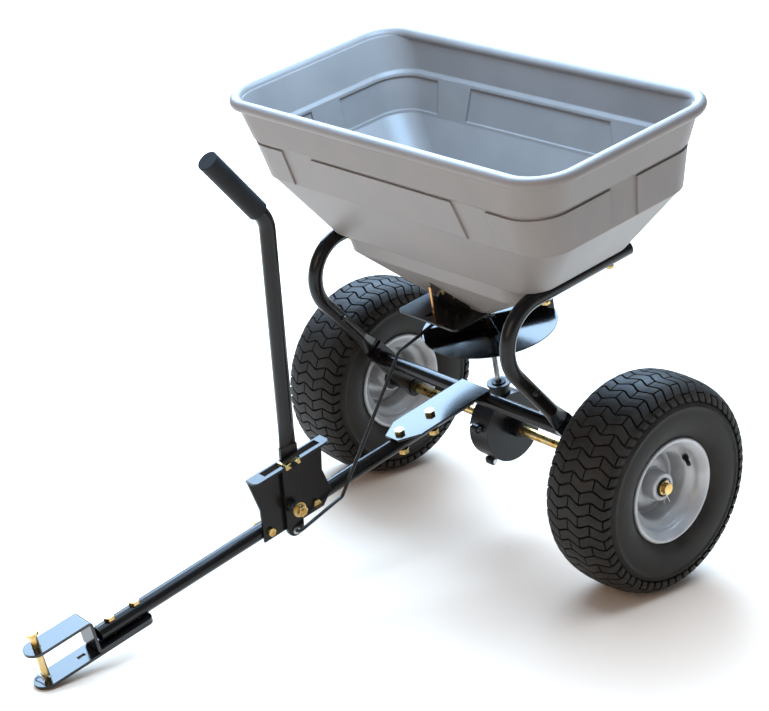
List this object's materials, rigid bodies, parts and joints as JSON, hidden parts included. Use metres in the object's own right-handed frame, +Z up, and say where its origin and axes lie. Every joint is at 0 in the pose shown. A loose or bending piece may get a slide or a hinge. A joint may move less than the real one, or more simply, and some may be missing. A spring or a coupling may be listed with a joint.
{
  "type": "tow behind spreader",
  "caption": "Two-wheeled tow behind spreader: tapered hopper on a bent tube frame, wheel-driven bevel gearbox and impeller, gate lever, tow bar with pin hitch.",
  "frame": {"origin": "ground level under the centre of the overall bounding box, with both tyres and the hitch pin's foot on the floor", "axes": "+X forwards to the hitch, +Y to the machine's left, +Z up; the machine stands pitched nose down by 12 degrees"},
  "size_m": [1.2025, 0.84, 0.8589],
  "materials": {
    "hopper_plastic": "moulded plastic with a fine grain",
    "black_steel": "gloss powder coat",
    "impeller_plastic": "semi-gloss moulded plastic",
    "gearbox_casting": "satin paint",
    "yellow_zinc": "yellow zinc plate",
    "bright_zinc": "bright zinc plate",
    "gear_steel": "sintered steel, oiled",
    "bush_plastic": "nylon",
    "grip_rubber": "soft vinyl",
    "valve_rubber": "rubber",
    "tyre_rubber": "matt rubber",
    "silver_rim": "silver enamel"
  },
  "bodies": {
    "frame": {"hopper": "hopper_plastic", "hopper_bolts": "yellow_zinc", "outlet_plate": "black_steel", "outlet_bolts": "yellow_zinc", "throat_plate": "black_steel", "throat_bolts": "yellow_zinc", "gate_guides": "black_steel", "shaft_bushes": "bush_plastic", "gearbox_left": "gearbox_casting", "gearbox_right": "gearbox_casting", "gearbox_screws": "bright_zinc", "gearbox_bushes": "bush_plastic", "left_leg": "black_steel", "right_leg": "black_steel", "leg_caps": "bush_plastic", "leg_bolts": "yellow_zinc", "cross_bolts": "yellow_zinc", "cross_tube": "black_steel", "frame_bushes": "bush_plastic", "brace_plate": "black_steel", "tow_bar": "black_steel", "brace_bolts": "yellow_zinc", "hitch_bolts": "yellow_zinc", "bracket_bolts": "yellow_zinc", "hitch_lower_strap": "black_steel", "hitch_upper_strap": "black_steel", "lever_bracket": "black_steel", "pivot_bolt": "yellow_zinc", "pivot_spacer": "bright_zinc", "pivot_washer": "yellow_zinc", "pivot_shim": "bright_zinc"},
    "axle_and_right_wheel": {"axle": "yellow_zinc", "crown_gear": "gear_steel", "crown_pin": "bright_zinc", "drive_pin": "bright_zinc", "right_tyre": "tyre_rubber", "right_rim": "silver_rim", "right_bushes": "bush_plastic", "right_valve": "valve_rubber", "axle_spacers": "bush_plastic", "axle_washers": "yellow_zinc", "split_pins": "bright_zinc"},
    "left_wheel": {"left_tyre": "tyre_rubber", "left_rim": "silver_rim", "left_bushes": "bush_plastic", "left_valve": "valve_rubber"},
    "impeller": {"impeller": "impeller_plastic", "impeller_shaft": "bright_zinc", "roll_pin": "bright_zinc", "agitator": "bright_zinc", "pinion": "gear_steel"},
    "lever": {"lever": "black_steel", "grip": "grip_rubber"},
    "control_rod": {"control_rod": "bright_zinc", "rod_clip": "bright_zinc"},
    "gate": {"gate": "black_steel"},
    "stop": {"stop_clip": "yellow_zinc", "stop_screw": "bush_plastic"},
    "hitch_pin": {"hitch_pin": "yellow_zinc"},
    "hairpin": {"hairpin": "bright_zinc"}
  },
  "joints": [
    {"name": "axle_spin", "type": "hinge", "parent": "frame", "child": "axle_and_right_wheel", "pos_m": [-0.41076, 0, 0.1905], "axis": [0, 1, 0], "continuous": true},
    {"name": "left_wheel_spin", "type": "hinge", "parent": "frame", "child": "left_wheel", "pos_m": [-0.41076, 0.349, 0.1905], "axis": [0, 1, 0], "continuous": true},
    {"name": "impeller_spin", "type": "hinge", "parent": "frame", "child": "impeller", "pos_m": [-0.36905, 0, 0.3861], "axis": [0.2085, 0, 0.978], "continuous": true},
    {"name": "lever_swing", "type": "hinge", "parent": "frame", "child": "lever", "pos_m": [0.09382, 0.0215, 0.17612], "axis": [0, 1, 0], "range_deg": [-20, 0]},
    {"name": "rod_swing", "type": "hinge", "parent": "lever", "child": "control_rod", "pos_m": [0.09003, 0.0215, 0.13228], "axis": [0, 1, 0], "range_deg": [0, 20]},
    {"name": "gate_slide", "type": "slide", "parent": "frame", "child": "gate", "axis": [0.978, 0, -0.2085], "range_m": [0, 0.015]},
    {"name": "stop_slide", "type": "slide", "parent": "frame", "child": "stop", "axis": [0.9678, 0, -0.2518], "range_m": [0, 0.028]},
    {"name": "pin_lift", "type": "slide", "parent": "frame", "child": "hitch_pin", "axis": [0.2518, 0, 0.9678], "range_m": [0, 0.045]},
    {"name": "hairpin_pull", "type": "slide", "parent": "hitch_pin", "child": "hairpin", "axis": [0, -1, 0], "range_m": [0, 0.024]}
  ],
  "couplings": [
    {"joint": "impeller_spin", "follows": "axle_spin", "ratio": -4},
    {"joint": "rod_swing", "follows": "lever_swing", "ratio": -1},
    {"joint": "gate_slide", "follows": "lever_swing", "m_per_rad": -0.04184}
  ]
}
